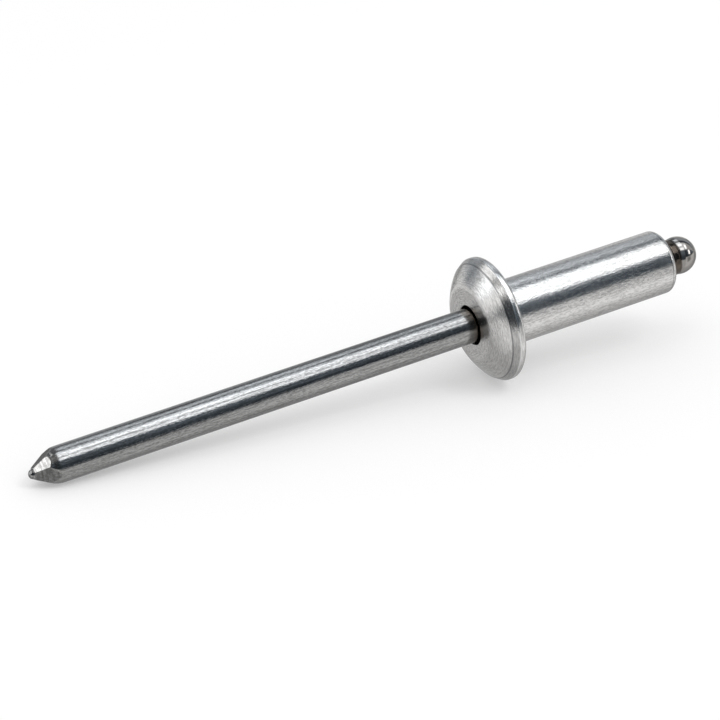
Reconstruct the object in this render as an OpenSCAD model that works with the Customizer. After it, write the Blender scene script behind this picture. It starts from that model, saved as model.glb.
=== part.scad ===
// Blind rivet, 4 mm, unset, lying as it comes to rest on its flange rim and its stem.
// Rivet frame: the axis is Z, the flange bears on z = 0, the sleeve runs to +Z and the stem to -Z.
// Part frame: the rivet lies along X with its stem to -X, and the surface it lies on is z = 0.

/* [Rivet body] */
// Outside diameter of the sleeve
sleeve_d = 4.0; // [3.4:0.05:5.0]
// Length of the sleeve from the bearing face to its blind end
sleeve_len = 12.0; // [6:0.5:24]
// Rounding of the sleeve's blind end
sleeve_round = 0.35; // [0.1:0.05:0.5]
// Fillet where the sleeve meets the bearing face
root_fillet = 0.10; // [0.05:0.01:0.2]

/* [Flange] */
// Diameter over the flange rim
flange_d = 7.70; // [7.4:0.05:8.2]
// Height of the flange, from its bearing face to its crown
flange_h = 1.70; // [1.4:0.05:2.2]
// Diameter of the flat crown around the hole
crown_d = 4.84; // [3.4:0.02:5.6]
// How far the edge band leans in, from the rim to the crease where the dome begins
band_lean = 0.25; // [0.15:0.01:0.4]
// Height of that crease over the bearing face
crease_h = 0.85; // [0.7:0.05:1.1]
// Height of the rim's top edge over the bearing face
land_h = 0.45; // [0.35:0.01:0.6]
// Rounding of the rim's lower edge
rim_round = 0.25; // [0.1:0.01:0.3]

/* [Bore] */
// Gap on each side between the bore and the stem
bore_gap = 0.06; // [0.05:0.01:0.1]
// Gap on each side at the mouth of the hole, which flares out to the crown
mouth_gap = 0.17; // [0.12:0.01:0.3]
// Length of the flare behind the crown
mouth_len = 1.20; // [0.4:0.1:3.0]
// Gap on each side where the blind end grips the stem
grip_gap = 0.01; // [0.01:0.01:0.04]
// Length of the gripping land at the blind end
grip_len = 1.20; // [0.6:0.1:2.0]
// Length of the taper from the bore to the gripping land
grip_lead = 0.30; // [0.1:0.05:0.6]
// Bevel round the mouth of the hole
mouth_bevel = 0.04; // [0.02:0.01:0.1]

/* [Mandrel] */
// Diameter of the stem
stem_d = 2.14; // [1.6:0.02:2.3]
// Length of the stem in front of the crown, to the end of its point
stem_out = 28.53; // [20:0.01:40]
// Depth of the break notch
notch_depth = 0.28; // [0.1:0.01:0.4]
// Radius of the groove that makes the break notch
notch_round = 0.35; // [0.2:0.01:0.45]
// Distance of the break notch inside the blind end
notch_in = 2.20; // [2.1:0.1:4.0]

/* [Mandrel head] */
// Diameter of the ball
head_d = 2.36; // [2.34:0.02:3.6]
// Length of the neck between the blind end and the seam under the ball
neck_len = 0.80; // [0.6:0.05:1.5]
// How far the collar stands out from the stem, on each side
collar_step = 0.07; // [0.03:0.01:0.09]
// Length of the collar
collar_len = 0.35; // [0.1:0.05:0.4]
// Depth of the seam between the collar and the ball
seam_depth = 0.05; // [0.02:0.01:0.08]

/* [Point] */
// Number of flats pinched round the point
flat_count = 6; // [4:1:8]
// Roll of the first flat, from straight up towards the front
flat_roll = -25; // [-60:5:60]
// Angles of the flats to the axis, taken in turn
flat_tapers = [30, 33, 28]; // [26:1:40]
// How far each flat in turn starts outside the nub
flat_starts = [0.04, 0.12, 0.06]; // [0.02:0.01:0.2]
// Radius of the round nub at the end of the point
nub_round = 0.30; // [0.2:0.01:0.35]
// How far below the stem's axis the pinched point lies
point_drop = 0.07; // [0:0.01:0.15]
// Length of the point, from the end of the nub to the stem's shoulder
point_len = 1.96; // [1.6:0.02:2.6]
// Angle of the eased shoulder in front of the stem, before the flats begin
shoulder_taper = 8; // [7:0.5:12]

/* [Hidden] */
$fn = 96;

// Overlap that keeps cutting shapes clear of the faces they cut
cut = 1;

sleeve_r = sleeve_d / 2;
flange_r = flange_d / 2;
crown_r = crown_d / 2;
crease_r = flange_r - band_lean;
stem_r = stem_d / 2;
head_r = head_d / 2;
bore_r = stem_r + bore_gap;
mouth_r = stem_r + mouth_gap;
grip_r = stem_r + grip_gap;
collar_r = stem_r + collar_step;
seam_r = collar_r - seam_depth;

// Dome: a sphere on the axis that passes through the crown's edge and through the crease
dome_z = (pow(crease_r, 2) - pow(crown_r, 2) - pow(flange_h, 2) + pow(crease_h, 2))
    / (2 * (flange_h - crease_h));
dome_r = sqrt(pow(crown_r, 2) + pow(flange_h + dome_z, 2));

// Edge band: a cone through the crease and the rim's top edge, carried on up to the crown's height
band_slope = band_lean / (crease_h - land_h);
band_top_r = crease_r - (flange_h - crease_h) * band_slope;
rim_c = [flange_r - rim_round, -rim_round];

// Stations along the axis
crown_z = -flange_h;
tip_z = crown_z - stem_out;
nub_z = tip_z + nub_round;
shoulder_z = tip_z + point_len;
grip_z = sleeve_len - grip_len;
notch_z = sleeve_len - notch_in;
seam_z = sleeve_len + neck_len;
ball_z = seam_z + sqrt(pow(head_r, 2) - pow(seam_r, 2));

// Rest: the surface touches the rim's top edge and the stem's shoulder from below
rest_tilt = atan((flange_r - stem_r) / (-land_h - shoulder_z));
rest_h = stem_r * cos(rest_tilt) - shoulder_z * sin(rest_tilt);
// Roll about the axis that puts the seams of the round faces at the side, off the line that the rivet lies on
seam_roll = 90;
// Middle of the part's length along X, between the nub and the ball
mid_x = ((ball_z + nub_z) * cos(rest_tilt) + point_drop * sin(rest_tilt) + head_r - nub_round) / 2;

// Lays a shape from the rivet frame down into the part frame
module laid() {
    translate([-mid_x, 0, rest_h])
        rotate([0, 90 - rest_tilt, 0])
            rotate([0, 0, seam_roll])
                children();
}

// Half section of the flange: flat crown, dome, edge band and rim
module flange_section() {
    intersection() {
        translate([0, dome_z]) circle(r = dome_r, $fn = 360);
        polygon([
            [0, crown_z],
            [band_top_r, crown_z],
            [flange_r, -land_h],
            [flange_r, -rim_round],
            rim_c,
            [rim_c[0], 0],
            [0, 0]
        ]);
    }
    translate(rim_c) circle(r = rim_round);
}

// Half section of the sleeve with its rounded blind end and root fillet
module sleeve_section() {
    square([sleeve_r, sleeve_len - sleeve_round]);
    square([sleeve_r - sleeve_round, sleeve_len]);
    translate([sleeve_r - sleeve_round, sleeve_len - sleeve_round]) circle(r = sleeve_round);
    difference() {
        translate([sleeve_r, 0]) square(root_fillet);
        translate([sleeve_r + root_fillet, root_fillet]) circle(r = root_fillet);
    }
}

// Half section of the hole: bevelled mouth, flare, bore, lead and gripping land
module hole_section() {
    polygon([
        [0, crown_z - cut],
        [mouth_r + mouth_bevel + cut, crown_z - cut],
        [mouth_r, crown_z + mouth_bevel],
        [bore_r, crown_z + mouth_len],
        [bore_r, grip_z - grip_lead],
        [grip_r, grip_z],
        [grip_r, sleeve_len + cut],
        [0, sleeve_len + cut]
    ]);
}

// Sleeve and flange, headed from one piece of aluminium
module rivet_body() {
    color("#c4c5c6")
        laid()
            rotate_extrude()
                difference() {
                    union() {
                        flange_section();
                        sleeve_section();
                    }
                    hole_section();
                }
}

// Half section of the stem, from the shoulder of the point to the collar
module stem_section() {
    difference() {
        polygon([
            [0, nub_z],
            [stem_r - (shoulder_z - nub_z) * tan(shoulder_taper), nub_z],
            [stem_r, shoulder_z],
            [stem_r, seam_z - collar_len - 2 * collar_step],
            [collar_r, seam_z - collar_len],
            [collar_r, seam_z - seam_depth],
            [collar_r - 2 * seam_depth, seam_z + seam_depth],
            [0, seam_z + seam_depth]
        ]);
        translate([stem_r - notch_depth + notch_round, notch_z]) circle(r = notch_round);
    }
}

// Half section of the ball, which the collar meets at the seam
module ball_section() {
    intersection() {
        translate([0, ball_z]) circle(r = head_r);
        translate([0, ball_z - head_r]) square([head_r, 2 * head_r]);
    }
}

// Moves the pinched point off the stem's axis, towards the surface that the rivet lies on
module dropped() {
    translate([point_drop * cos(seam_roll), -point_drop * sin(seam_roll), nub_z]) children();
}

// Flats pinched round the point, each a plane that leans out from the nub
module point_flats() {
    reach = 2 * stem_d;
    for (i = [0 : flat_count - 1])
        rotate([0, 0, 180 - seam_roll + flat_roll + i * 360 / flat_count])
            translate([nub_round + flat_starts[i % len(flat_starts)], 0, 0])
                rotate([0, flat_tapers[i % len(flat_tapers)], 0])
                    translate([0, -reach / 2, -reach / 2])
                        cube(reach);
}

// One-piece mandrel: pinched point, stem, break notch, collar and ball
module mandrel() {
    color("#8c9095")
        laid() {
            difference() {
                rotate_extrude() {
                    stem_section();
                    ball_section();
                }
                dropped() point_flats();
            }
            dropped() sphere(r = nub_round);
        }
}

rivet_body();
mandrel();
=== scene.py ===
"""Looks of an unset blind rivet that lies on its flange rim and its stem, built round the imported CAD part.

Sizes are in millimetres in the rivet's own frame: its axis, with the flange bearing on 0, the sleeve towards
plus and the stem towards minus. A Lie carries them into the part's frame, in metres.
"""

import logging
import math
from collections.abc import Sequence
from dataclasses import dataclass
from enum import Enum

import bpy
import numpy as np
from mathutils import Matrix, Vector


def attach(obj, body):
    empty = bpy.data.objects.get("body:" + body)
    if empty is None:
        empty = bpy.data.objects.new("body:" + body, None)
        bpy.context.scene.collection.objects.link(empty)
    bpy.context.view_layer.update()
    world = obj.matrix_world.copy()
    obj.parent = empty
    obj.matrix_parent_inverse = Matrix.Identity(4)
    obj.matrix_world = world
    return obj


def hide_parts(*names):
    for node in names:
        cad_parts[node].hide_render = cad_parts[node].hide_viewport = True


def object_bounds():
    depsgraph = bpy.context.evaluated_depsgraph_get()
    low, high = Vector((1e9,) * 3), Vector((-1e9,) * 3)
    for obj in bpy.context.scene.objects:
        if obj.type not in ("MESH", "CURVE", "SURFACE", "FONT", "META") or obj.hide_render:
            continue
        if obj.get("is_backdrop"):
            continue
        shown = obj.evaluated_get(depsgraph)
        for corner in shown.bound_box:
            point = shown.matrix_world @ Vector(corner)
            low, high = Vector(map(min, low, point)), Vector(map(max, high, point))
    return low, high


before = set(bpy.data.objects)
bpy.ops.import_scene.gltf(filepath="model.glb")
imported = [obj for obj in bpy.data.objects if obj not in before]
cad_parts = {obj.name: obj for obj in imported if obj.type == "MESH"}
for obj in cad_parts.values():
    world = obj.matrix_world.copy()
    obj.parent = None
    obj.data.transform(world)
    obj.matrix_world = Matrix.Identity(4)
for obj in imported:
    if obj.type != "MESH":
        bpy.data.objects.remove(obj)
CAD_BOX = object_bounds()

LOG = logging.getLogger("rivet")
MM = 0.001
FULL_TURN = 2 * math.pi
ROLL_STEPS = 360
CORNER_ROWS = 7
RIVET_COORDS = "rivet_mm"
DRAWN_MASK = "drawn"
GROUND_MASK = "ground"
WHITE = (1.0, 1.0, 1.0, 1.0)
SAME_POINT = 1e-6
LEAST_LENGTH = 1e-18
LEAST_COSINE = 0.05

Pair = tuple[float, float]
Triple = tuple[float, float, float]


class Slot(Enum):
    """Names of the material slots."""

    BODY = "body_aluminium"
    MANDREL = "mandrel_steel"


@dataclass(frozen=True)
class Lie:
    """How the rivet's own frame lies in the part's frame.

    The axis rises by tilt towards the ball. The point 0 of the axis is at offset along X and height above the
    floor, in millimetres.
    """

    tilt: float
    offset: float
    height: float

    def place(self, radius: np.ndarray, roll: np.ndarray, along: np.ndarray, sink: np.ndarray) -> np.ndarray:
        """Puts points of the rivet into the part's frame.

        Each point is the axis point at along, lowered by sink, plus radius times the direction that roll
        gives, which turns from straight up at 0 towards the front at a quarter turn.

        Args:
            radius: distances from the ring's middle, in millimetres.
            roll: angles round the axis, in radians.
            along: places on the axis, in millimetres.
            sink: how far the ring's middle lies below the axis, in millimetres.

        Returns:
            The points in metres, with x, y and z on the last array axis.
        """
        lift = radius * np.cos(roll) - sink
        x = self.offset + along * math.cos(self.tilt) - lift * math.sin(self.tilt)
        y = -radius * np.sin(roll)
        z = self.height + along * math.sin(self.tilt) + lift * math.cos(self.tilt)
        return np.stack(np.broadcast_arrays(x, y, z), axis=-1) * MM


@dataclass(frozen=True)
class Line:
    """A straight stretch of an outline between two points, each a radius and a place on the axis.

    ease is how far from its end the outline starts to round the corner into the next stretch.
    """

    start: Pair
    end: Pair
    rows: int = 6
    ease: float = 0.0

    def length(self) -> float:
        """Distance between the two points."""
        return math.dist(self.start, self.end)

    def at(self, run: np.ndarray) -> np.ndarray:
        """Points at the distances run from the start: the start plus that share of the way to the end."""
        share = run[:, None] / self.length()
        return np.array(self.start) * (1 - share) + np.array(self.end) * share


@dataclass(frozen=True)
class Arc:
    """A round stretch of an outline: a circle's centre, its radius and the angles that it runs between."""

    centre: Pair
    radius: float
    first: float
    last: float
    rows: int = 16
    ease: float = 0.0

    def length(self) -> float:
        """Radius times the angle that the arc turns through."""
        return abs(self.last - self.first) * self.radius

    def at(self, run: np.ndarray) -> np.ndarray:
        """Points at the distances run from the start: the centre plus radius times (cosine, sine)."""
        angle = self.first + math.copysign(1.0, self.last - self.first) * run / self.radius
        return np.array(self.centre) + self.radius * np.stack([np.cos(angle), np.sin(angle)], axis=-1)


def outline(strands: Sequence[Line | Arc], closed: bool) -> np.ndarray:
    """Joins stretches head to tail into one outline with eased corners.

    An eased corner is a quadratic curve. It leaves the outline at the ease distance before the corner, comes
    back the same distance after it, and has the corner itself as its control point.

    Args:
        strands: the stretches in order, each starting where the one before ends.
        closed: whether the last stretch runs into the first.

    Returns:
        The points, one row each, as radius and place on the axis.
    """
    runs = []
    for index, strand in enumerate(strands):
        eased_before = strands[index - 1].ease if closed or index else 0.0
        runs.append(strand.at(np.linspace(eased_before, strand.length() - strand.ease, strand.rows)))
        if not strand.ease:
            continue
        following = strands[(index + 1) % len(strands)]
        leave, corner = strand.at(np.array([strand.length() - strand.ease, strand.length()]))
        rejoin = following.at(np.array([strand.ease]))[0]
        share = np.linspace(0, 1, CORNER_ROWS + 2)[1:-1, None]
        runs.append((1 - share) ** 2 * leave + 2 * share * (1 - share) * corner + share**2 * rejoin)
    points = np.concatenate(runs)
    apart = np.linalg.norm(points - np.roll(points, 1, axis=0), axis=1) > SAME_POINT
    apart[0] = apart[0] if closed else True
    return points[apart]


def soft_min(first: np.ndarray, second: np.ndarray, blend: float) -> np.ndarray:
    """The smaller of two fields, rounded where they cross.

    Where the fields differ by less than blend, a quarter of blend times the square of the share that is left
    is taken off the smaller one.

    Args:
        first: one field.
        second: the other field.
        blend: difference over which the crossing is rounded, in millimetres.

    Returns:
        The rounded field.
    """
    share = np.clip(1 - np.abs(first - second) / blend, 0, 1)
    return np.minimum(first, second) - share**2 * blend / 4


@dataclass
class Skin:
    """A surface of revolution on a grid: one row for each place along the outline, one column for each roll.

    A closed skin's last row runs into its first. An open one is closed at both ends by a fan of triangles to
    a point on the axis.
    """

    radius: np.ndarray
    along: np.ndarray
    lie: Lie
    closed: bool
    sink: np.ndarray | float = 0.0

    def __post_init__(self) -> None:
        """Gives every row its full ring of columns."""
        self.roll = np.linspace(0, FULL_TURN, ROLL_STEPS, endpoint=False)[None, :]
        shape = (len(self.along), ROLL_STEPS)
        self.radius = np.broadcast_to(self.radius, shape).astype(float)
        self.along = np.broadcast_to(self.along, shape).astype(float)
        self.sink = np.broadcast_to(self.sink, shape).astype(float)

    def normals(self, points: np.ndarray) -> np.ndarray:
        """Outward normals: the cross product of the step round the ring and the step along the outline.

        Each step runs from the point before to the point after, so a long face weighs more than a short one.

        Args:
            points: the grid's points.

        Returns:
            Unit vectors, one for each point.
        """
        around = np.roll(points, -1, axis=1) - np.roll(points, 1, axis=1)
        onward = np.roll(points, -1, axis=0) - np.roll(points, 1, axis=0)
        if not self.closed:
            onward[0] = points[1] - points[0]
            onward[-1] = points[-1] - points[-2]
        cross = np.cross(around, onward)
        return cross / np.maximum(np.linalg.norm(cross, axis=-1, keepdims=True), LEAST_LENGTH)

    def faces(self) -> np.ndarray:
        """Corner numbers of the quads between neighbouring rows and columns."""
        rows = np.arange(len(self.along) - (0 if self.closed else 1))[:, None]
        columns = np.arange(ROLL_STEPS)[None, :]
        next_row = (rows + 1) % len(self.along)
        next_column = (columns + 1) % ROLL_STEPS
        corners = [
            rows * ROLL_STEPS + columns,
            rows * ROLL_STEPS + next_column,
            next_row * ROLL_STEPS + next_column,
            next_row * ROLL_STEPS + columns,
        ]
        return np.stack(corners, axis=-1).reshape(-1, 4)

    def caps(self) -> tuple[np.ndarray, ...]:
        """The two points on the axis that close an open skin, each level with its last ring.

        Returns:
            Their places, their normals, which point out along the axis, their places in the rivet's own
            frame, and the corner numbers of the triangles that join them to the rings.
        """
        along, sink = self.along[[0, -1], :1], self.sink[[0, -1], :1]
        places = self.lie.place(np.zeros((2, 1)), np.zeros((2, 1)), along, sink).reshape(-1, 3)
        direction = (places[1] - places[0]) / np.linalg.norm(places[1] - places[0])
        own = np.concatenate([-sink, 0 * sink, along], axis=1)
        ring = np.arange(ROLL_STEPS)
        onward = np.roll(ring, -1)
        first_pole = len(self.along) * ROLL_STEPS
        last_ring = first_pole - ROLL_STEPS
        at_start = [np.full(ROLL_STEPS, first_pole), onward, ring]
        at_end = [np.full(ROLL_STEPS, first_pole + 1), last_ring + ring, last_ring + onward]
        fans = np.concatenate([np.stack(at_start, axis=-1), np.stack(at_end, axis=-1)])
        return places, np.stack([-direction, direction]), own, fans

    def build(self, name: str, masks: dict[str, np.ndarray]) -> bpy.types.Object:
        """Makes the mesh object with its normals, its UV map and its point attributes.

        Args:
            name: name of the object.
            masks: values from 0 to 1 over the grid, for the finish to read.

        Returns:
            The new object, linked into the scene.
        """
        points = self.lie.place(self.radius, self.roll, self.along, self.sink)
        co, no = points.reshape(-1, 3), self.normals(points).reshape(-1, 3)
        lift = self.radius * np.cos(self.roll) - self.sink
        own = np.stack([lift, self.radius * np.sin(self.roll), self.along], axis=-1).reshape(-1, 3)
        quads, fans = self.faces(), np.zeros((0, 3), int)
        if not self.closed:
            *ends, fans = self.caps()
            co, no, own = (np.concatenate(pair) for pair in zip((co, no, own), ends))
        mesh = bpy.data.meshes.new(name)
        mesh.vertices.add(len(co))
        mesh.vertices.foreach_set("co", co.astype(np.float32).ravel())
        corners = np.concatenate([quads.ravel(), fans.ravel()]).astype(np.int32)
        mesh.loops.add(len(corners))
        mesh.loops.foreach_set("vertex_index", corners)
        starts = np.concatenate([np.arange(len(quads)) * 4, len(quads) * 4 + np.arange(len(fans)) * 3])
        mesh.polygons.add(len(starts))
        mesh.polygons.foreach_set("loop_start", starts.astype(np.int32))
        mesh.update(calc_edges=True)
        mesh.validate()
        mesh.shade_smooth()
        mesh.normals_split_custom_set_from_vertices(no.tolist())
        self.write_uv(mesh, corners)
        attribute = mesh.attributes.new(RIVET_COORDS, "FLOAT_VECTOR", "POINT")
        attribute.data.foreach_set("vector", own.astype(np.float32).ravel())
        for mask_name, values in masks.items():
            grid = np.broadcast_to(values, self.radius.shape).ravel()
            full = np.concatenate([grid, grid[[0, -1]]])[: len(co)].astype(np.float32)
            mesh.attributes.new(mask_name, "FLOAT", "POINT").data.foreach_set("value", full)
        piece = bpy.data.objects.new(name, mesh)
        bpy.context.scene.collection.objects.link(piece)
        return piece

    def write_uv(self, mesh: bpy.types.Mesh, corners: np.ndarray) -> None:
        """Lays the grid out flat: U is the share of the ring and V the share of the rows.

        Args:
            mesh: the mesh that the map is for.
            corners: the vertex number of each face corner.
        """
        rows = len(self.along)
        on_grid = corners < rows * ROLL_STEPS
        column = np.where(on_grid, corners % ROLL_STEPS, 0)
        row = np.where(on_grid, corners // ROLL_STEPS, np.where(corners == rows * ROLL_STEPS, 0, rows - 1))
        uv = np.stack([(column + 0.5) / ROLL_STEPS, (row + 0.5) / rows], axis=-1)
        mesh.uv_layers.new(name="UVMap").data.foreach_set("uv", uv.astype(np.float32).ravel())


@dataclass
class RivetBody:
    """Sleeve and dome flange, headed from one piece of aluminium."""

    sleeve_d: float = 4.0
    sleeve_len: float = 12.0
    sleeve_round: float = 0.35
    root_fillet: float = 0.10
    flange_d: float = 7.70
    flange_h: float = 1.70
    crown_d: float = 4.84
    band_lean: float = 0.25
    crease_h: float = 0.85
    land_h: float = 0.45
    rim_round: float = 0.25
    bore_gap: float = 0.06
    mouth_gap: float = 0.17
    mouth_len: float = 1.20
    grip_gap: float = 0.01
    grip_len: float = 1.20
    grip_lead: float = 0.30
    mouth_bevel: float = 0.04
    crown_ease: float = 0.16
    crease_ease: float = 0.07
    land_ease: float = 0.05
    lip_ease: float = 0.03

    def strands(self, stem_r: float) -> list[Line | Arc]:
        """Outline of the half section, once round the metal.

        It runs over the crown, the dome, the edge band and the rim, along the sleeve to its blind end, and
        back through the bore. The dome is a circle on the axis through the crown's edge and the crease.

        Args:
            stem_r: radius of the stem that the bore clears.

        Returns:
            The stretches in order.
        """
        sleeve_r, flange_r, crown_r = self.sleeve_d / 2, self.flange_d / 2, self.crown_d / 2
        crease_r = flange_r - self.band_lean
        mouth_r, bore_r, grip_r = (stem_r + gap for gap in (self.mouth_gap, self.bore_gap, self.grip_gap))
        crown_z, end_z = -self.flange_h, self.sleeve_len
        grip_z = end_z - self.grip_len
        rise = self.flange_h - self.crease_h
        dome_z = (crease_r**2 - crown_r**2 - self.flange_h**2 + self.crease_h**2) / (2 * rise)
        dome_r = math.hypot(crown_r, self.flange_h + dome_z)
        quarter = math.pi / 2
        lip_r = mouth_r + self.mouth_bevel
        return [
            Line((lip_r, crown_z), (crown_r, crown_z), 6, self.crown_ease),
            Arc(
                (0, dome_z),
                dome_r,
                math.atan2(crown_z - dome_z, crown_r),
                math.atan2(-self.crease_h - dome_z, crease_r),
                26,
                self.crease_ease,
            ),
            Line((crease_r, -self.crease_h), (flange_r, -self.land_h), 5, self.land_ease),
            Line((flange_r, -self.land_h), (flange_r, -self.rim_round), 3),
            Arc((flange_r - self.rim_round, -self.rim_round), self.rim_round, 0, quarter, 10),
            Line((flange_r - self.rim_round, 0), (sleeve_r + self.root_fillet, 0), 6),
            Arc((sleeve_r + self.root_fillet, self.root_fillet), self.root_fillet, -quarter, -2 * quarter, 6),
            Line((sleeve_r, self.root_fillet), (sleeve_r, end_z - self.sleeve_round), 40),
            Arc((sleeve_r - self.sleeve_round, end_z - self.sleeve_round), self.sleeve_round, 0, quarter, 14),
            Line((sleeve_r - self.sleeve_round, end_z), (grip_r, end_z), 5, self.lip_ease),
            Line((grip_r, end_z), (grip_r, grip_z), 4),
            Line((grip_r, grip_z), (bore_r, grip_z - self.grip_lead), 3),
            Line((bore_r, grip_z - self.grip_lead), (bore_r, crown_z + self.mouth_len), 8),
            Line(
                (bore_r, crown_z + self.mouth_len),
                (mouth_r, crown_z + self.mouth_bevel),
                5,
                self.lip_ease / 2,
            ),
            Line((mouth_r, crown_z + self.mouth_bevel), (lip_r, crown_z), 3, self.lip_ease / 2),
        ]

    def build(self, lie: Lie, stem_r: float) -> bpy.types.Object:
        """Turns the outline round the axis into the body's mesh."""
        points = outline(self.strands(stem_r), closed=True)
        skin = Skin(points[:, :1], points[:, 1:], lie, closed=True)
        drawn = np.clip(points[:, 1:] / (2 * self.root_fillet), 0, 1)
        return skin.build("rivet_body_skin", {DRAWN_MASK: drawn})


@dataclass
class Mandrel:
    """One-piece steel mandrel: pinched point, stem, break notch, collar and ball."""

    stem_d: float = 2.14
    stem_out: float = 28.53
    notch_depth: float = 0.28
    notch_round: float = 0.35
    notch_in: float = 2.20
    head_d: float = 2.36
    neck_len: float = 0.80
    collar_step: float = 0.07
    collar_len: float = 0.35
    seam_depth: float = 0.05
    flat_count: int = 6
    flat_roll: float = -25.0
    flat_tapers: tuple[float, ...] = (30.0, 33.0, 28.0)
    flat_starts: tuple[float, ...] = (0.04, 0.12, 0.06)
    nub_round: float = 0.30
    point_drop: float = 0.07
    point_len: float = 1.96
    shoulder_taper: float = 8.0
    ridge_blend: float = 0.02
    root_blend: float = 0.05
    shoulder_len: float = 0.60
    shoulder_power: float = 2.5
    neck_ease: float = 0.05
    nub_rows: int = 16
    flat_rows: int = 130
    row_power: float = 1.15
    ledge_shares: Triple = (0.2, 0.5, 0.8)
    nub_pole: float = 0.06
    ball_pole: float = 0.03

    def stations(self, body: RivetBody) -> dict[str, float]:
        """Places along the axis, worked out from the body that the mandrel is gripped by."""
        tip = -body.flange_h - self.stem_out
        seam = body.sleeve_len + self.neck_len
        collar_r = self.stem_d / 2 + self.collar_step
        return {
            "tip": tip,
            "nub": tip + self.nub_round,
            "shoulder": tip + self.point_len,
            "notch": body.sleeve_len - self.notch_in,
            "seam": seam,
            "ball": seam + math.sqrt((self.head_d / 2) ** 2 - (collar_r - self.seam_depth) ** 2),
        }

    def flat_field(self, along: np.ndarray, roll: np.ndarray, nub: float) -> np.ndarray:
        """Distance from the axis to the flats pinched round the point.

        Each flat starts just outside the nub and leans out at its taper, so its distance from the nub's
        middle is its start plus the rise times the tangent of the taper. The nub lies point_drop below the
        axis, which adds the drop times the cosine of the flat's angle from straight down. Seen along a roll
        away from its own, the flat is that distance over the cosine of the difference. Neighbouring flats
        meet in a slightly rounded ridge.

        Args:
            along: places on the axis.
            roll: angles round the axis, in radians.
            nub: place of the nub's centre.

        Returns:
            The distance at each place and roll.
        """
        reach = []
        for index in range(self.flat_count):
            taper = math.radians(self.flat_tapers[index % len(self.flat_tapers)])
            facing = math.radians(self.flat_roll) + index * FULL_TURN / self.flat_count
            start = self.nub_round + self.flat_starts[index % len(self.flat_starts)]
            apart = start - self.point_drop * math.cos(facing) + (along - nub) * math.tan(taper)
            reach.append(apart / np.maximum(np.cos(roll - facing), LEAST_COSINE))
        nearest = np.sort(np.stack(np.broadcast_arrays(*reach)), axis=0)
        return soft_min(nearest[0], nearest[1], self.ridge_blend)

    def point_rows(self, at: dict[str, float], roll: np.ndarray) -> tuple[np.ndarray, ...]:
        """The nub, its ledge and the flats, up to just behind the shoulder.

        The nub is a ball, whose first row stands nub_pole radians from the axis. The flats' rows bunch
        towards it by row_power and end three blends behind the shoulder, where the flats no longer reach the
        stem. Their radius is the soft minimum of the flats and the shoulder. The shoulder falls below the
        stem by the taper's tangent times shoulder_len times a share: the distance ahead of its start over
        shoulder_len, to shoulder_power while it is under 1, and the plain distance over shoulder_len beyond
        that, as on a cone. The flats show fully where they lie two thirds of the blend inside the shoulder.

        Args:
            at: places along the axis.
            roll: angles round the axis, in radians.

        Returns:
            Radius over the grid, place on the axis and sink of each row, and where the flats show, from 0 to
            1, over the grid.
        """
        stem_r = self.stem_d / 2
        sweep = np.linspace(self.nub_pole, math.pi / 2, self.nub_rows)[:, None]
        nub_r = np.broadcast_to(self.nub_round * np.sin(sweep), (len(sweep), ROLL_STEPS))
        nub_z = at["nub"] - self.nub_round * np.cos(sweep)
        rise = np.linspace(0, 1, self.flat_rows)[:, None] ** self.row_power
        flat_z = at["nub"] + rise * (at["shoulder"] + 3 * self.root_blend - at["nub"])
        behind = np.clip((at["shoulder"] - flat_z) / self.shoulder_len, 0, None)
        slope = math.tan(math.radians(self.shoulder_taper))
        curved = np.where(behind < 1, behind**self.shoulder_power, behind)
        shoulder = stem_r - self.shoulder_len * slope * curved
        flats = self.flat_field(flat_z, roll, at["nub"])
        flat_r = soft_min(flats, shoulder, self.root_blend)
        ground = np.clip((shoulder - flats) / self.root_blend * 1.5, 0, 1)
        ledge = np.array(self.ledge_shares)[:, None]
        ledge_r = self.nub_round + ledge * (flat_r[:1] - self.nub_round)
        ledge_z = np.full_like(ledge, at["nub"])
        radius = np.concatenate([nub_r, ledge_r, flat_r])
        along = np.concatenate([nub_z, ledge_z, flat_z])
        sink = self.point_drop * np.concatenate([np.ones_like(nub_z), 1 - ledge, np.zeros_like(flat_z)])
        mask = np.concatenate([np.zeros_like(nub_r), np.zeros_like(ledge_r), ground])
        return radius, along, sink, mask

    def strands(self, at: dict[str, float], start: float) -> list[Line | Arc]:
        """Outline of the stem from start to the end of the ball.

        Args:
            at: places along the axis.
            start: place where the point's rows end.

        Returns:
            The stretches in order: stem, break notch, stem, collar, seam and ball.
        """
        stem_r, collar_r = self.stem_d / 2, self.stem_d / 2 + self.collar_step
        groove_r = stem_r - self.notch_depth + self.notch_round
        half = math.sqrt(self.notch_round**2 - (groove_r - stem_r) ** 2)
        open_angle = math.atan2(half, stem_r - groove_r)
        collar_z = at["seam"] - self.collar_len
        foot_z = collar_z - 2 * self.collar_step
        seam_r = collar_r - self.seam_depth
        seam_angle = math.atan2(at["seam"] - at["ball"], seam_r)
        return [
            Line((stem_r, start), (stem_r, at["notch"] - half), 20),
            Arc((groove_r, at["notch"]), self.notch_round, -open_angle, -FULL_TURN + open_angle, 10),
            Line((stem_r, at["notch"] + half), (stem_r, foot_z), 6, self.neck_ease),
            Line((stem_r, foot_z), (collar_r, collar_z), 3, self.neck_ease),
            Line((collar_r, collar_z), (collar_r, at["seam"] - self.seam_depth), 3, self.seam_depth / 3),
            Line((collar_r, at["seam"] - self.seam_depth), (seam_r, at["seam"]), 3, self.seam_depth / 4),
            Arc((0, at["ball"]), self.head_d / 2, seam_angle, math.pi / 2 - self.ball_pole, 46),
        ]

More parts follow.
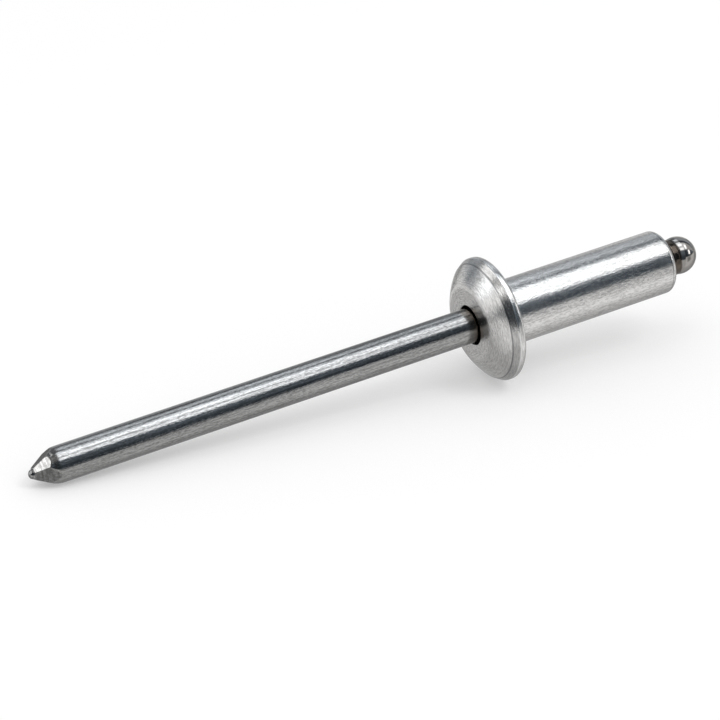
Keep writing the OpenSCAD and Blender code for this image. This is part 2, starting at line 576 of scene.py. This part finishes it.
    def build(self, lie: Lie, body: RivetBody) -> bpy.types.Object:
        """Makes the mandrel's mesh, from its nub to its ball."""
        at = self.stations(body)
        roll = np.linspace(0, FULL_TURN, ROLL_STEPS, endpoint=False)[None, :]
        point_r, point_z, sink, ground = self.point_rows(at, roll)
        rest = outline(self.strands(at, float(point_z[-1, 0])), closed=False)[1:]
        rest_r = np.broadcast_to(rest[:, :1], (len(rest), ROLL_STEPS))
        radius = np.concatenate([point_r, rest_r])
        along = np.concatenate([point_z, rest[:, 1:]])
        ground = np.concatenate([ground, np.zeros_like(rest_r)])
        sink = np.concatenate([sink, np.zeros((len(rest), 1))])
        on_stem = (along > at["nub"]) & (along < at["seam"] - self.seam_depth)
        skin = Skin(radius, along, lie, closed=False, sink=sink)
        return skin.build("mandrel_skin", {GROUND_MASK: ground, DRAWN_MASK: on_stem * (1 - ground)})


def rest_of(body: RivetBody, mandrel: Mandrel) -> Lie:
    """How the rivet lies when the floor touches its rim's top edge and its stem's shoulder.

    The tilt's tangent is the difference of the two radii over the distance between them. The part's middle is
    half way between the nub's and the ball's far ends.

    Args:
        body: the sleeve and flange.
        mandrel: the mandrel.

    Returns:
        The tilt, offset and height.
    """
    at = mandrel.stations(body)
    stem_r = mandrel.stem_d / 2
    tilt = math.atan((body.flange_d / 2 - stem_r) / (-body.land_h - at["shoulder"]))
    height = stem_r * math.cos(tilt) - at["shoulder"] * math.sin(tilt)
    far_end = at["ball"] * math.cos(tilt) + mandrel.head_d / 2
    near_end = at["nub"] * math.cos(tilt) + mandrel.point_drop * math.sin(tilt) - mandrel.nub_round
    return Lie(tilt, -(far_end + near_end) / 2, height)


@dataclass(frozen=True)
class Cloud:
    """One noise of a finish, with scale features to a millimetre.

    stretch multiplies the coordinates first, so a small part draws the noise out along its axis. relief is
    how deep the noise cuts the surface, in micrometres.
    """

    scale: float
    stretch: Triple
    detail: float = 2.0
    rough: float = 0.5
    relief: float = 0.0


@dataclass(frozen=True)
class Mark:
    """A line round the metal: full within core of its middle, gone at edge from it, in millimetres."""

    core: float
    edge: float
    strength: float


class Graph:
    """Nodes of one material or of the world, added one at a time."""

    def __init__(self, owner: bpy.types.Material | bpy.types.World) -> None:
        """Starts the owner's node tree afresh."""
        owner.use_nodes = True
        self.owner = owner
        self.tree = owner.node_tree
        self.tree.nodes.clear()

    def node(
        self, kind: str, inputs: dict[str | int, object] | None = None, **settings: object
    ) -> bpy.types.Node:
        """Adds a node.

        Args:
            kind: Blender's name of the node type, without its ShaderNode prefix.
            inputs: what goes into its sockets, each a value or another node's output.
            **settings: properties of the node itself.

        Returns:
            The node.
        """
        made = self.tree.nodes.new("ShaderNode" + kind)
        for key, value in settings.items():
            setattr(made, key, value)
        for key, value in (inputs or {}).items():
            if isinstance(value, bpy.types.NodeSocket):
                self.tree.links.new(value, made.inputs[key])
            else:
                made.inputs[key].default_value = value
        return made

    def attribute(self, name: str, output: str) -> bpy.types.NodeSocket:
        """One of the mesh's own attributes."""
        return self.node("Attribute", attribute_name=name).outputs[output]

    def math(self, operation: str, first: object, second: object = 0.0) -> bpy.types.NodeSocket:
        """Result of one sum on one or two numbers."""
        return self.node("Math", {0: first, 1: second}, operation=operation).outputs[0]

    def scaled(self, vector: bpy.types.NodeSocket, factors: Triple) -> bpy.types.NodeSocket:
        """A vector with each part times its own factor."""
        return self.node("VectorMath", {0: vector, 1: factors}, operation="MULTIPLY").outputs[0]

    def cloud(self, vector: bpy.types.NodeSocket, cloud: Cloud) -> bpy.types.NodeSocket:
        """A cloud's values, from 0 to 1, over the stretched vector."""
        sockets = {
            "Vector": self.scaled(vector, cloud.stretch),
            "Scale": cloud.scale,
            "Detail": cloud.detail,
            "Roughness": cloud.rough,
        }
        return self.node("TexNoise", sockets).outputs["Fac"]

    def ranged(self, value: object, source: Pair, target: Pair = (0.0, 1.0)) -> bpy.types.NodeSocket:
        """Value carried from the source range into the target range, and held at its ends."""
        sockets = {"Value": value, "From Min": source[0], "From Max": source[1]}
        return self.node("MapRange", {**sockets, "To Min": target[0], "To Max": target[1]}).outputs["Result"]

    def between(self, value: object, rise: Pair, fall: Pair) -> bpy.types.NodeSocket:
        """One between two ramps: the smaller of the share of the rise and what is left of the fall."""
        return self.math("MINIMUM", self.ranged(value, rise), self.ranged(value, fall, (1.0, 0.0)))

    def ring(self, value: object, middle: float, mark: Mark) -> bpy.types.NodeSocket:
        """The mark's strength within core of the middle, falling to nothing at edge from it."""
        apart = self.math("ABSOLUTE", self.math("SUBTRACT", value, middle))
        return self.math("MULTIPLY", self.ranged(apart, (mark.core, mark.edge), (1.0, 0.0)), mark.strength)

    def mixed(self, share: object, first: object, second: object) -> bpy.types.NodeSocket:
        """First at share 0, second at share 1."""
        return self.node("Mix", {0: share, 2: first, 3: second}, data_type="FLOAT").outputs[0]

    def painted(
        self, under: Triple | bpy.types.NodeSocket, over: Triple, share: object
    ) -> bpy.types.NodeSocket:
        """One colour at share 0, the other laid over it at share 1."""
        base = under if isinstance(under, bpy.types.NodeSocket) else (*under, 1)
        return self.node("Mix", {0: share, 6: base, 7: (*over, 1)}, data_type="RGBA").outputs[2]

    def relief(self, layers: Sequence[tuple[object, float]]) -> bpy.types.NodeSocket:
        """Normal of a stack of reliefs, each laid on the one before.

        Args:
            layers: each relief's height, from 0 to 1, and its depth in micrometres.

        Returns:
            The normal.
        """
        normal = {}
        for height, depth in layers:
            sockets = {"Height": height, "Strength": 1.0, "Distance": depth * MM * MM, **normal}
            normal = {"Normal": self.node("Bump", sockets).outputs["Normal"]}
        return normal["Normal"]

    def metal(self, colour: object, rough: object, normal: object) -> bpy.types.Material:
        """Ends the graph in a bare metal and hands over its material."""
        sockets = {"Base Color": colour, "Metallic": 1.0, "Roughness": rough, "Normal": normal}
        self.node("OutputMaterial", {"Surface": self.node("BsdfPrincipled", sockets).outputs[0]})
        return self.owner


@dataclass(frozen=True)
class Aluminium:
    """Tumbled aluminium: streaks along the sleeve, turning marks round the flange, mottle and small pits.

    The crease and the start of the sleeve's end carry dark lines of painted shade, and the rim's corner a
    light line of painted highlight with a band of painted shade ahead of it. The places of all three are
    given along the axis, in millimetres.

    The turning marks are noise over a cone's development: the direction across the axis, times turn_width,
    and the distance from the axis plus lean times the place along it, times turn_pitch. Wear is a mix of
    streaks, fine streaks and mottle, and carries the colour from dull to bright.
    """

    crease: float
    corner: float
    end: float

    colour: Triple = (0.64, 0.633, 0.622)
    dull: Triple = (0.47, 0.465, 0.458)
    # painted shade: colour of the dark lines at the crease and the sleeve's end, and of the band ahead of the
    # rim's corner
    painted_shade: Triple = (0.10, 0.10, 0.105)
    # painted highlight: colour of the light line along the rim's corner
    painted_highlight: Triple = (0.88, 0.88, 0.88)
    roughness: Pair = (0.11, 0.24)
    streaks: Cloud = Cloud(8.5, (1, 1, 0.12), 3.0, 0.6, 4.6)
    fine: Cloud = Cloud(14.0, (1, 1, 0.3), 3.0, 0.5, 6.5)
    turning: Cloud = Cloud(8.0, (1, 1, 1), 4.0, 0.65)
    fine_turning: Cloud = Cloud(16.0, (1, 1, 1), 3.0)
    mottle: Cloud = Cloud(2.4, (1, 1, 0.5), 5.0, 0.62, 1.6)
    grain: Cloud = Cloud(12.0, (1, 1, 1), 3.0, 0.6, 6.5)
    grain_range: Pair = (0.3, 0.7)
    turn_width: float = 0.5
    turn_pitch: float = 1.6
    turn_lean: float = 0.6
    pit_scale: float = 1.7
    pit_edge: Pair = (0.04, 0.09)
    pit_depth: float = 4.0
    fine_share: float = 0.55
    mottle_share: float = 0.15
    wear_range: Pair = (0.435, 0.545)
    crease_mark: Mark = Mark(0.015, 0.055, 0.72)
    end_mark: Mark = Mark(0.01, 0.06, 0.45)
    corner_mark: Mark = Mark(0.02, 0.07, 0.45)
    band_mark: Mark = Mark(0.17, 0.25, 0.25)
    band_ahead: float = 0.2

    def turned(
        self, graph: Graph, own: bpy.types.NodeSocket, depth: bpy.types.NodeSocket
    ) -> bpy.types.NodeSocket:
        """Coordinates that run round the axis, for the turning marks.

        Args:
            graph: the material's nodes.
            own: the rivet's own coordinates.
            depth: their part along the axis.

        Returns:
            The vector.
        """
        flat = graph.scaled(own, (1, 1, 0))
        distance = graph.node("VectorMath", {0: flat}, operation="LENGTH").outputs["Value"]
        facing = graph.node("VectorMath", {0: flat}, operation="NORMALIZE").outputs[0]
        parts = graph.node("SeparateXYZ", {0: facing}).outputs
        ring = graph.math("ADD", distance, graph.math("MULTIPLY", depth, self.turn_lean))
        sockets = {axis: graph.math("MULTIPLY", parts[axis], self.turn_width) for axis in "XY"}
        sockets["Z"] = graph.math("MULTIPLY", ring, self.turn_pitch)
        return graph.node("CombineXYZ", sockets).outputs[0]

    def make(self) -> bpy.types.Material:
        """Builds the material."""
        graph = Graph(bpy.data.materials.new("tumbled_aluminium"))
        own = graph.attribute(RIVET_COORDS, "Vector")
        drawn = graph.attribute(DRAWN_MASK, "Fac")
        depth = graph.node("SeparateXYZ", {0: own}).outputs["Z"]
        turned = self.turned(graph, own, depth)
        streaks = graph.mixed(drawn, graph.cloud(turned, self.turning), graph.cloud(own, self.streaks))
        fine = graph.mixed(drawn, graph.cloud(turned, self.fine_turning), graph.cloud(own, self.fine))
        mottle = graph.cloud(own, self.mottle)
        grain = graph.cloud(own, self.grain)
        cells = {"Vector": own, "Scale": self.pit_scale, "Randomness": 1.0}
        unpitted = graph.ranged(graph.node("TexVoronoi", cells).outputs["Distance"], self.pit_edge)
        wear = graph.mixed(self.mottle_share, graph.mixed(self.fine_share, streaks, fine), mottle)
        colour = graph.painted(self.dull, self.colour, graph.ranged(wear, self.wear_range))
        # Painted shade: dark lines at the crease and where the sleeve's end starts to round, and a darker
        # band ahead of the rim's corner.
        painted_shade = graph.ring(depth, self.corner - self.band_ahead, self.band_mark)
        painted_shade = graph.math("MAXIMUM", painted_shade, graph.ring(depth, self.crease, self.crease_mark))
        painted_shade = graph.math("MAXIMUM", painted_shade, graph.ring(depth, self.end, self.end_mark))
        colour = graph.painted(colour, self.painted_shade, painted_shade)
        # Painted highlight: a light line along the rim's corner.
        colour = graph.painted(colour, self.painted_highlight, graph.ring(depth, self.corner, self.corner_mark))
        layers = [
            (mottle, self.mottle.relief),
            (streaks, self.streaks.relief),
            (fine, self.fine.relief),
            (grain, self.grain.relief),
            (unpitted, self.pit_depth),
        ]
        roughness = graph.ranged(grain, self.grain_range, self.roughness)
        return graph.metal(colour, roughness, graph.relief(layers))


@dataclass(frozen=True)
class DrawnSteel:
    """Bright drawn steel: fine lines along the stem, score marks across the flats, a smoother ball.

    It carries painted brown shade between the sleeve's end and the seam, and where the stem comes out of the
    hole.
    The places of the hole's mouth, the sleeve's end and the seam are given along the axis, in millimetres,
    and each ramp of that painted shade as its two distances from one of them.
    """

    mouth: float
    end: float
    seam: float

    colour: Triple = (0.335, 0.333, 0.33)
    dull: Triple = (0.20, 0.198, 0.195)
    ball: Triple = (0.32, 0.305, 0.29)
    scored: Triple = (0.09, 0.089, 0.087)
    # painted brown shade at the neck and where the stem leaves the hole
    painted_brown_shade: Triple = (0.10, 0.084, 0.07)
    roughness: Pair = (0.05, 0.16)
    lines: Cloud = Cloud(8.0, (1, 1, 0.02), 4.0, 0.65, 4.0)
    hair: Cloud = Cloud(22.0, (1, 1, 0.07), 3.0, 0.5, 4.2)
    cuts: Cloud = Cloud(9.5, (0.10, 0.10, 1), 2.0, 0.6, 2.0)
    speckle: Cloud = Cloud(15.0, (1, 1, 0.3), 3.0, 0.6, 4.5)
    mottle: Cloud = Cloud(3.0, (1, 1, 0.25), 4.0, 0.6, 1.0)
    speckle_range: Pair = (0.3, 0.7)
    cut_range: Pair = (0.42, 0.58)
    cut_strength: Pair = (0.56, 0.04)
    mottle_share: float = 0.12
    speckle_share: float = 0.6
    fine_share: float = 0.62
    wear_range: Pair = (0.45, 0.55)
    mouth_rise: Pair = (-0.65, -0.05)
    mouth_fall: Pair = (0.70, 1.70)
    end_rise: Pair = (-0.10, 0.10)
    seam_fall: Pair = (0.04, 0.14)
    ball_share: float = 0.8

    def make(self) -> bpy.types.Material:
        """Builds the material."""
        graph = Graph(bpy.data.materials.new("drawn_steel"))
        own = graph.attribute(RIVET_COORDS, "Vector")
        drawn = graph.attribute(DRAWN_MASK, "Fac")
        ground = graph.attribute(GROUND_MASK, "Fac")
        depth = graph.node("SeparateXYZ", {0: own}).outputs["Z"]
        clouds = (self.lines, self.hair, self.cuts, self.speckle, self.mottle)
        lines, hair, cuts, speckle, mottle = (graph.cloud(own, cloud) for cloud in clouds)
        coarse = graph.mixed(self.mottle_share, lines, mottle)
        wear = graph.mixed(self.fine_share, coarse, graph.mixed(self.speckle_share, hair, speckle))
        colour = graph.painted(self.dull, self.colour, graph.ranged(wear, self.wear_range))
        past_seam = shifted(self.seam, self.seam_fall)
        at_neck = graph.between(depth, shifted(self.end, self.end_rise), past_seam)
        at_mouth = graph.between(
            depth, shifted(self.mouth, self.mouth_rise), shifted(self.mouth, self.mouth_fall)
        )
        # Painted brown shade at the neck between the sleeve's end and the seam, and where the stem comes out
        # of the hole.
        colour = graph.painted(colour, self.painted_brown_shade, graph.math("MAXIMUM", at_neck, at_mouth))
        colour = graph.painted(colour, self.ball, graph.ranged(depth, past_seam, (0.0, self.ball_share)))
        scored = graph.math("MULTIPLY", ground, graph.ranged(cuts, self.cut_range, self.cut_strength))
        colour = graph.painted(colour, self.scored, scored)
        layers = [
            (graph.math("MULTIPLY", lines, drawn), self.lines.relief),
            (graph.math("MULTIPLY", hair, drawn), self.hair.relief),
            (graph.math("MULTIPLY", cuts, ground), self.cuts.relief),
            (graph.math("MULTIPLY", speckle, drawn), self.speckle.relief),
            (mottle, self.mottle.relief),
        ]
        roughness = graph.ranged(speckle, self.speckle_range, self.roughness)
        return graph.metal(colour, roughness, graph.relief(layers))


def shifted(place: float, span: Pair) -> Pair:
    """A span of distances from a place, as places."""
    return place + span[0], place + span[1]


@dataclass(frozen=True)
class Softbox:
    """A rectangular lamp seen from the object.

    swing is its angle from the YZ plane towards plus X, lift its angle from the front horizon over the top,
    and wide and tall the angles that it fills, all in degrees. glow is how bright it looks, where 1 is
    white, and distance is in metres.
    """

    name: str
    swing: float
    lift: float
    wide: float
    tall: float
    glow: float
    distance: float = 0.7

    def build(self) -> bpy.types.Object:
        """Makes the lamp, facing the object, with its long sides level.

        Its power is glow times pi times its area.

        Returns:
            The lamp object.
        """
        swing, lift = math.radians(self.swing), math.radians(self.lift)
        ahead = math.cos(swing)
        outward = Vector((math.sin(swing), -ahead * math.cos(lift), ahead * math.sin(lift)))
        side = (Vector((1, 0, 0)) - outward * outward.x).normalized()
        lamp = bpy.data.lights.new(self.name, "AREA")
        lamp.shape = "RECTANGLE"
        lamp.size = 2 * self.distance * math.tan(math.radians(self.wide / 2))
        lamp.size_y = 2 * self.distance * math.tan(math.radians(self.tall / 2))
        lamp.energy = self.glow * math.pi * lamp.size * lamp.size_y
        made = bpy.data.objects.new(self.name, lamp)
        facing = Matrix((side, outward.cross(side), outward)).transposed().to_4x4()
        made.matrix_world = Matrix.Translation(outward * self.distance) @ facing
        made.visible_camera = False
        made.visible_glossy = False
        bpy.context.scene.collection.objects.link(made)
        return made


@dataclass(frozen=True)
class Patch:
    """A soft-edged patch of the tent.

    side is its range of the direction's x, from -1 at the left to 1 at the right. lift is its range of angles
    from the front horizon over the top, in degrees. tint above 0 turns its grey blue. soft_side and soft_lift
    are how wide its edges are.
    """

    side: Pair
    lift: Pair
    grey: float
    tint: float = 0.0
    soft_side: float = 0.05
    soft_lift: float = 3.0

    def share(self, side: np.ndarray, lift: np.ndarray) -> np.ndarray:
        """How much of the patch shows: the product of its two ranges, each with smooth ramps at both ends.

        Args:
            side: the directions' x.
            lift: the directions' angles over the top, in degrees.

        Returns:
            The share, from 0 to 1.
        """
        across = np.minimum(side - self.side[0], self.side[1] - side) / self.soft_side + 0.5
        over = np.minimum(lift - self.lift[0], self.lift[1] - lift) / self.soft_lift + 0.5
        ramps = np.clip(across, 0, 1), np.clip(over, 0, 1)
        return np.prod([ramp**2 * (3 - 2 * ramp) for ramp in np.broadcast_arrays(*ramps)], axis=0)

    def colour(self) -> Triple:
        """Grey with its red lowered and its blue raised by the tint."""
        return self.grey * (1 - self.tint), self.grey, self.grey * (1 + self.tint)


# The tent's patches, in the order in which each is laid over the ones before. From the camera's place, the
# stem reflects sides of 0.2 to 0.5, the sleeve 0.35 to 0.55 and the point's flats -0.9 to 0.1. The flange
# and the ball reflect nearly all of them.
FRONT_WALL = (
    Patch((-1.1, 1.1), (-10, 50), 0.10, 0.20, 0.05, 5),
    Patch((-0.1, 1.1), (24, 60), 0.30, 0.16, 0.05, 34),
    Patch((0.345, 0.56), (4, 47), 0.075, 0.20, 0.04, 6),
    Patch((0.345, 1.1), (-10, 6), 0.90, 0.0, 0.05, 5),
    Patch((-1.1, 1.1), (50, 98), 0.45),
)
OVER_STEM = (
    Patch((-0.04, 0.345), (51, 66), 3.30, 0.03, 0.04, 5),
    Patch((-0.04, 0.345), (66, 77), 1.75, 0.03, 0.04, 4),
    Patch((-0.04, 0.345), (77, 93), 3.80, 0.03, 0.04, 4),
    Patch((-0.04, 0.345), (93, 105), 2.30, 0.05, 0.04, 5),
    Patch((-0.04, 0.345), (105, 118), 0.48, 0.06, 0.04, 4),
    Patch((0.10, 0.345), (118, 137), 1.70, 0.06, 0.04, 5),
    Patch((0.10, 0.345), (137, 158), 0.26, 0.06, 0.04, 5),
    Patch((0.10, 0.345), (158, 200), 0.65, 0.04, 0.04, 8),
)
OVER_SLEEVE = (
    Patch((0.345, 1.1), (52, 99), 1.50, 0.02, 0.05, 6),
    Patch((0.345, 1.1), (99, 119), 0.12, 0.15, 0.05, 4),
    Patch((0.345, 1.1), (119, 152), 0.66, 0.06, 0.05, 8),
    Patch((0.345, 1.1), (152, 200), 0.40, 0.04, 0.05, 8),
    Patch((0.45, 0.75), (162, 200), 0.85),
)
OVER_FLANGE = (
    Patch((-0.70, 0.0), (148, 200), 0.58, 0.05, 0.12, 8),
    Patch((-0.58, -0.36), (157, 178), 0.22, 0.10, 0.08, 8),
    Patch((-0.62, -0.28), (102, 142), 2.20, 0, 0.08, 6),
    Patch((-1.1, -0.70), (58, 152), 1.50, 0, 0.08, 10),
    Patch((-1.1, -0.76), (114, 154), 2.40, 0.03, 0.06, 8),
    Patch((-1.1, -0.74), (155, 190), 0.95, 0, 0.06, 8),
    Patch((-0.93, -0.79), (86, 112), 0.42, 0, 0.03, 6),
    Patch((-1.1, -0.93), (42, 168), 1.20, 0, 0.05, 12),
    Patch((-0.97, -0.10), (-10, 57), 0.09, 0.10, 0.06, 6),
    Patch((-0.70, -0.555), (56, 101), 0.42, 0, 0.03, 12),
    Patch((-0.70, -0.50), (4, 56), 0.07, 0.10, 0.06, 8),
)
FLAT_AND_BALL = (
    Patch((-0.80, -0.67), (67, 91), 4.90, 0, 0.03, 4),
    Patch((0.66, 1.1), (50, 99), 0.78, 0.0, 0.06, 6),
    Patch((0.49, 0.63), (57, 84), 4.20, 0.0, 0.03, 5),
    Patch((0.70, 0.81), (19, 48), 4.20, 0.0, 0.03, 6),
)
LIKE_FLOOR = (
    Patch((0.345, 1.1), (-160, 0), 1.08, 0, 0.05, 4),
    Patch((-1.1, 0.345), (-160, -7), 1.00, 0, 0.05, 4),
    Patch((0.08, 0.345), (-64, -7), 0.84, 0, 0.05, 5),
    Patch((0.0, 1.1), (-160, -60), 0.70, 0, 0.05, 30),
    Patch((0.0, 1.1), (-160, -92), 0.46, 0, 0.05, 30),
    Patch((-0.62, -0.1), (-160, -36), 0.62, 0, 0.10, 10),
    Patch((-1.1, 0.1), (-160, -76), 0.50, 0, 0.10, 30),
    Patch((0.50, 0.80), (-26, 3), 0.45, 0, 0.10, 10),
)
BEHIND = (
    Patch((-1.1, 1.1), (181, 220), 0.62, 0, 0.05, 4),
    Patch((-1.1, 0.1), (179, 220), 0.90, 0, 0.10, 6),
    Patch((-0.06, 0.16), (182, 202), 0.26, 0, 0.05, 5),
)


@dataclass
class Studio:
    """White floor, two softboxes, a tent that only reflections see, and the camera.

    The floor is invisible in reflections, and the tent's lower half, about as bright, takes its place.
    Lengths are in metres where their name doesn't say otherwise, angles in degrees, and focal_share is the
    lens's focal length over the sensor's width.
    """

    floor_half: float = 4.0
    floor_white: float = 0.93
    floor_glow: float = 0.28
    ambient: float = 0.86
    softboxes: tuple[Softbox, ...] = (
        Softbox("softbox_right", 22, 62, 20, 24, 3.70),
        Softbox("softbox_left", -15, 84, 40, 40, 0.70),
    )
    tent_radius: float = 2.0
    tent_grey: float = 0.25
    tent_tint: Triple = (0.95, 1.0, 1.05)
    tent_lift: Pair = (-150, 210)
    lift_steps: int = 361
    side_steps: int = 161
    patches: tuple[Patch, ...] = (
        FRONT_WALL + OVER_STEM + OVER_SLEEVE + OVER_FLANGE + FLAT_AND_BALL + LIKE_FLOOR + BEHIND
    )
    heading: float = 28.01
    elevation: float = 26.36
    camera_mm: Triple = (-63.16, -116.3, 68.4)
    focal_share: float = 2500 / 720
    sensor: float = 36.0
    clip: Pair = (0.01, 20.0)

    def camera(self) -> None:
        """Sets the camera at the photograph's place: heading right of plus Y, looking down by elevation."""
        data = bpy.data.cameras.new("camera")
        data.sensor_width = self.sensor
        data.lens = self.focal_share * self.sensor
        data.clip_start, data.clip_end = self.clip
        made = bpy.data.objects.new("camera", data)
        made.location = Vector(self.camera_mm) * MM
        made.rotation_euler = (math.radians(90 - self.elevation), 0, -math.radians(self.heading))
        bpy.context.scene.collection.objects.link(made)
        bpy.context.scene.camera = made

    def floor(self) -> None:
        """Lays the floor, a flat white square under the object, part of whose light comes from within."""
        half = self.floor_half
        corners = [(-half, -half, 0), (half, -half, 0), (half, half, 0), (-half, half, 0)]
        mesh = bpy.data.meshes.new("floor")
        mesh.from_pydata(corners, [], [(0, 1, 2, 3)])
        made = bpy.data.objects.new("floor", mesh)
        graph = Graph(bpy.data.materials.new("white_floor"))
        cloth = graph.node("BsdfDiffuse", {"Color": (self.floor_white,) * 3 + (1,)}).outputs[0]
        glow = graph.node("Emission", {"Color": WHITE, "Strength": 1.0}).outputs[0]
        shader = graph.node("MixShader", {0: self.floor_glow, 1: cloth, 2: glow}).outputs[0]
        graph.node("OutputMaterial", {"Surface": shader})
        mesh.materials.append(graph.owner)
        bpy.context.scene.collection.objects.link(made)
        made.visible_glossy = False
        made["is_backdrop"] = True

    def tent_colours(self, side: np.ndarray, lift: np.ndarray) -> np.ndarray:
        """Colours of the tent: its plain grey, then each patch laid over it by its share.

        Args:
            side: the directions' x, as a row.
            lift: the directions' angles over the top, in degrees, as a column.

        Returns:
            Red, green and blue over the grid of lifts and sides.
        """
        side, lift = np.broadcast_arrays(side, lift)
        colour = np.full((*side.shape, 3), self.tent_grey) * np.array(self.tent_tint)
        for patch in self.patches:
            share = patch.share(side, lift)[..., None]
            colour = colour * (1 - share) + np.array(patch.colour()) * share
        return colour

    def tent(self) -> None:
        """Hangs the tent: a ball of cloth that glows as its patches say, for reflections only.

        Its points are the radius times (side, minus depth times cosine of lift, depth times sine of lift),
        where depth is the root of 1 less side squared.
        """
        lift = np.linspace(*self.tent_lift, self.lift_steps)[:, None]
        side = np.linspace(-1, 1, self.side_steps)[None, :]
        depth, angle = np.sqrt(1 - side**2), np.radians(lift)
        spots = np.stack(np.broadcast_arrays(side, -depth * np.cos(angle), depth * np.sin(angle)), axis=-1)
        colour = self.tent_colours(side, lift).reshape(-1, 3)
        rows, columns = np.indices((self.lift_steps - 1, self.side_steps - 1))
        first = rows * self.side_steps + columns
        quads = np.stack([first, first + 1, first + 1 + self.side_steps, first + self.side_steps], axis=-1)
        mesh = bpy.data.meshes.new("tent")
        places = spots.reshape(-1, 3) * self.tent_radius
        mesh.from_pydata(places.tolist(), [], quads.reshape(-1, 4).tolist())
        glow = mesh.attributes.new("glow", "FLOAT_COLOR", "POINT")
        rgba = np.concatenate([colour, np.ones((len(colour), 1))], axis=1)
        glow.data.foreach_set("color", rgba.astype(np.float32).ravel())
        made = bpy.data.objects.new("tent", mesh)
        graph = Graph(bpy.data.materials.new("tent_cloth"))
        light = graph.attribute("glow", "Color")
        shader = graph.node("Emission", {"Color": light, "Strength": 1.0}).outputs[0]
        graph.node("OutputMaterial", {"Surface": shader})
        graph.owner.cycles.emission_sampling = "NONE"
        mesh.materials.append(graph.owner)
        bpy.context.scene.collection.objects.link(made)
        made.visible_camera = False
        made.visible_diffuse = False
        made.visible_shadow = False
        made.visible_transmission = False
        made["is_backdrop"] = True

    def world(self) -> None:
        """White where the camera, glossy and transmission rays look, plain soft light for everything else."""
        graph = Graph(bpy.data.worlds.new("world"))
        path = graph.node("LightPath").outputs
        seen = graph.math("MAXIMUM", path["Is Camera Ray"], path["Is Glossy Ray"])
        seen = graph.math("MAXIMUM", seen, path["Is Transmission Ray"])
        light = graph.node("Background", {"Color": WHITE, "Strength": self.ambient}).outputs[0]
        white = graph.node("Background", {"Color": WHITE, "Strength": 1.0}).outputs[0]
        shader = graph.node("MixShader", {0: seen, 1: light, 2: white}).outputs[0]
        graph.node("OutputWorld", {"Surface": shader})
        bpy.context.scene.world = graph.owner

    def build(self) -> None:
        """Sets up the whole studio."""
        self.floor()
        self.tent()
        self.world()
        for softbox in self.softboxes:
            softbox.build()
        self.camera()
        bpy.context.scene.view_settings.view_transform = "Standard"


def fit(piece: bpy.types.Object, node: str, material: bpy.types.Material) -> None:
    """Puts a piece in the place of its CAD node and gives it its finish.

    Args:
        piece: the new mesh object.
        node: the CAD node that it stands for.
        material: the finish.
    """
    piece.data.materials.append(material)
    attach(piece, "root")
    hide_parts(node)
    LOG.info("%s: %d faces, stands for %s", piece.name, len(piece.data.polygons), node)


def corners(box: tuple[Vector, Vector]) -> list[list[float]]:
    """A box as two plain lists of numbers."""
    return [list(map(float, corner)) for corner in box]


def main() -> None:
    logging.basicConfig(level=logging.INFO, format="%(name)s: %(message)s")
    body, mandrel = RivetBody(), Mandrel()
    lie = rest_of(body, mandrel)
    LOG.info("tilt %.4f degrees, height %.4f mm", math.degrees(lie.tilt), lie.height)
    aluminium = Aluminium(-body.crease_h, -body.land_h, body.sleeve_len - body.sleeve_round)
    steel = DrawnSteel(-body.flange_h, body.sleeve_len, body.sleeve_len + mandrel.neck_len)
    fit(body.build(lie, mandrel.stem_d / 2), "rivet_body", aluminium.make())
    fit(mandrel.build(lie, body), "mandrel", steel.make())
    Studio().build()
    bpy.context.view_layer.update()
    {"cad": corners(CAD_BOX), "visual": corners(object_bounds())}


if __name__ == "__main__":
    main()
